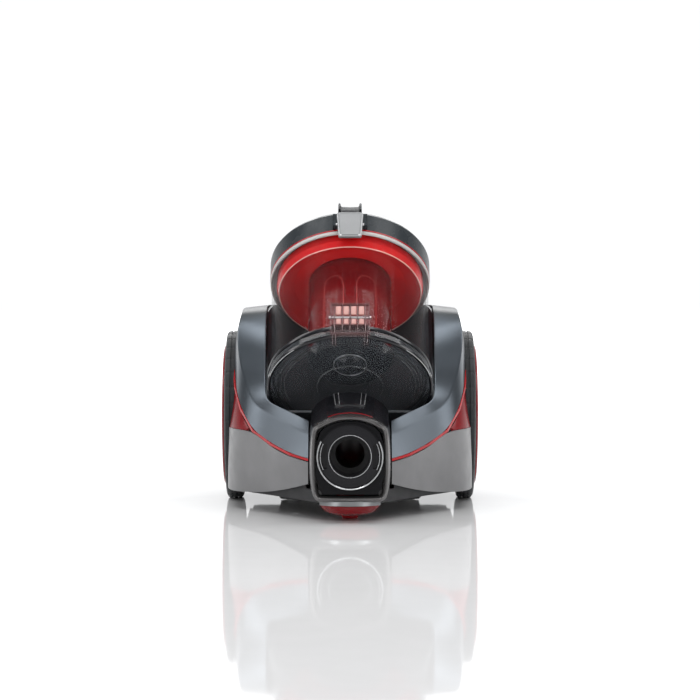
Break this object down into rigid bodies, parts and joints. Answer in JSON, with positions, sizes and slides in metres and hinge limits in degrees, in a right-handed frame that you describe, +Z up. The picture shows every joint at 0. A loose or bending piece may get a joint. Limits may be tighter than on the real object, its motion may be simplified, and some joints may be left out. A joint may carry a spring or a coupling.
{
  "type": "cylinder vacuum cleaner",
  "caption": "Bagless cylinder vacuum with a clear cyclone bin leaning between two shoulders, a front hose port, large side wheels, a swivel caster and a carry handle.",
  "frame": {"origin": "on the floor, at the middle of the footprint", "axes": "+X to the right as seen from the hose port side, +Y to the back, +Z up; the wheels and the caster stand on Z = 0"},
  "size_m": [0.286, 0.38, 0.3352],
  "materials": {
    "shell_paint": "moulded shell with metallic graphite paint",
    "red_gloss": "glossy deep red",
    "dark_red": "glossy dark red",
    "bright_red": "glossy red",
    "skirt_grey": "fine satin texture",
    "rear_grey": "satin",
    "dark_body": "fine matt texture",
    "lid_black": "satin",
    "black_gloss": "high gloss",
    "frame_grey": "metallic paint",
    "socket_black": "satin",
    "silver_trim": "satin silver paint",
    "pedal_silver": "satin silver paint",
    "rim_grey": "satin",
    "clear_bin": "clear, polished",
    "smoke_clear": "clear with a light smoke tint",
    "red_clear": "clear deep red tint",
    "cyclone_grey": "satin",
    "tyre_rubber": "matt",
    "soft_rubber": "matt",
    "grey_gasket": "matt",
    "steel": "bright zinc plated",
    "cast_alloy": "machined",
    "foam": "open-cell foam"
  },
  "bodies": {
    "chassis": {"shoulder_shell_left": "shell_paint", "shoulder_shell_right": "shell_paint", "side_skirts": "skirt_grey", "accent_panels": "red_gloss", "bead_strips": "red_gloss", "wheel_arches": "dark_body", "axles": "steel", "rear_cover": "rear_grey", "exhaust_grille": "dark_body", "exhaust_filter": "foam", "cord_gland": "soft_rubber", "pedal_springs": "steel", "pedal_guide": "dark_body", "base_pan": "dark_body", "base_screws": "steel", "cradle": "dark_body", "air_seals": "soft_rubber", "inlet_frame": "frame_grey", "port_face": "black_gloss", "port_ring": "silver_trim", "port_socket": "socket_black", "inlet_neck": "dark_body", "neck_pad": "dark_body", "intake_duct": "socket_black", "front_chin": "silver_trim", "motor_casing": "steel", "motor_mounts": "soft_rubber", "motor_frame": "dark_body"},
    "wheel_left": {"tyre_left": "tyre_rubber", "rim_left": "rim_grey", "hub_ring_left": "red_gloss", "hub_cap_left": "bright_red"},
    "wheel_right": {"tyre_right": "tyre_rubber", "rim_right": "rim_grey", "hub_ring_right": "red_gloss", "hub_cap_right": "bright_red"},
    "caster_swivel": {"caster_dome": "dark_red", "caster_axle": "steel"},
    "caster_roller": {"caster_wheel": "bright_red"},
    "motor_rotor": {"rotor": "steel", "impeller": "cast_alloy"},
    "winder": {"cord_reel": "dark_body"},
    "power_button": {"power_pedal": "pedal_silver"},
    "rewind_button": {"rewind_pedal": "pedal_silver"},
    "bin": {"tank": "clear_bin", "bin_pins": "steel", "bin_springs": "steel", "cyclone_dish": "red_gloss", "cyclone_tube": "red_clear", "tube_foot": "black_gloss", "vortex_cage": "cyclone_grey", "cone_pack": "cyclone_grey", "lid": "lid_black", "lid_ring": "grey_gasket", "lid_filter": "foam", "carry_handle": "lid_black"},
    "door": {"bin_door": "smoke_clear", "door_seal": "soft_rubber"},
    "catch": {"door_catch": "clear_bin"},
    "release": {"release_button": "silver_trim"}
  },
  "joints": [
    {"name": "left_wheel_spin", "type": "hinge", "parent": "chassis", "child": "wheel_left", "pos_m": [-0.13, 0.08, 0.095], "axis": [1, 0, 0], "continuous": true},
    {"name": "right_wheel_spin", "type": "hinge", "parent": "chassis", "child": "wheel_right", "pos_m": [0.13, 0.08, 0.095], "axis": [1, 0, 0], "continuous": true},
    {"name": "caster_turn", "type": "hinge", "parent": "chassis", "child": "caster_swivel", "pos_m": [0, -0.15, 0.02], "axis": [0, 0, 1], "continuous": true},
    {"name": "caster_roll", "type": "hinge", "parent": "caster_swivel", "child": "caster_roller", "pos_m": [0, -0.142, 0.013], "axis": [1, 0, 0], "continuous": true},
    {"name": "motor_spin", "type": "hinge", "parent": "chassis", "child": "motor_rotor", "pos_m": [0.05, 0.108, 0.087], "axis": [1, 0, 0], "continuous": true},
    {"name": "winder_spin", "type": "hinge", "parent": "chassis", "child": "winder", "pos_m": [-0.078, 0.108, 0.087], "axis": [1, 0, 0], "continuous": true},
    {"name": "power_press", "type": "slide", "parent": "chassis", "child": "power_button", "axis": [0, -0.7314, -0.682], "range_m": [0, 0.004], "stiffness_N_per_m": 400, "springref_m": -0.002},
    {"name": "rewind_press", "type": "slide", "parent": "chassis", "child": "rewind_button", "axis": [0, -0.7314, -0.682], "range_m": [0, 0.004], "stiffness_N_per_m": 400, "springref_m": -0.002},
    {"name": "bin_lift", "type": "slide", "parent": "chassis", "child": "bin", "axis": [0, 0, 1], "range_m": [0, 0.3]},
    {"name": "door_swing", "type": "hinge", "parent": "bin", "child": "door", "pos_m": [0, -0.01529, 0.08253], "axis": [1, 0, 0], "range_deg": [0, 95]},
    {"name": "catch_press", "type": "hinge", "parent": "bin", "child": "catch", "pos_m": [0, -0.13616, 0.21356], "axis": [-1, 0, 0], "range_deg": [0, 10], "stiffness_Nm_per_rad": 0.1, "springref_deg": -5.73},
    {"name": "release_press", "type": "hinge", "parent": "bin", "child": "release", "pos_m": [0, -0.04464, 0.31147], "axis": [-1, 0, 0], "range_deg": [0, 6], "stiffness_Nm_per_rad": 0.1, "springref_deg": -5.73}
  ],
  "couplings": [
    {"joint": "door_swing", "follows": "bin_lift", "rad_per_m": 5.5}
  ]
}
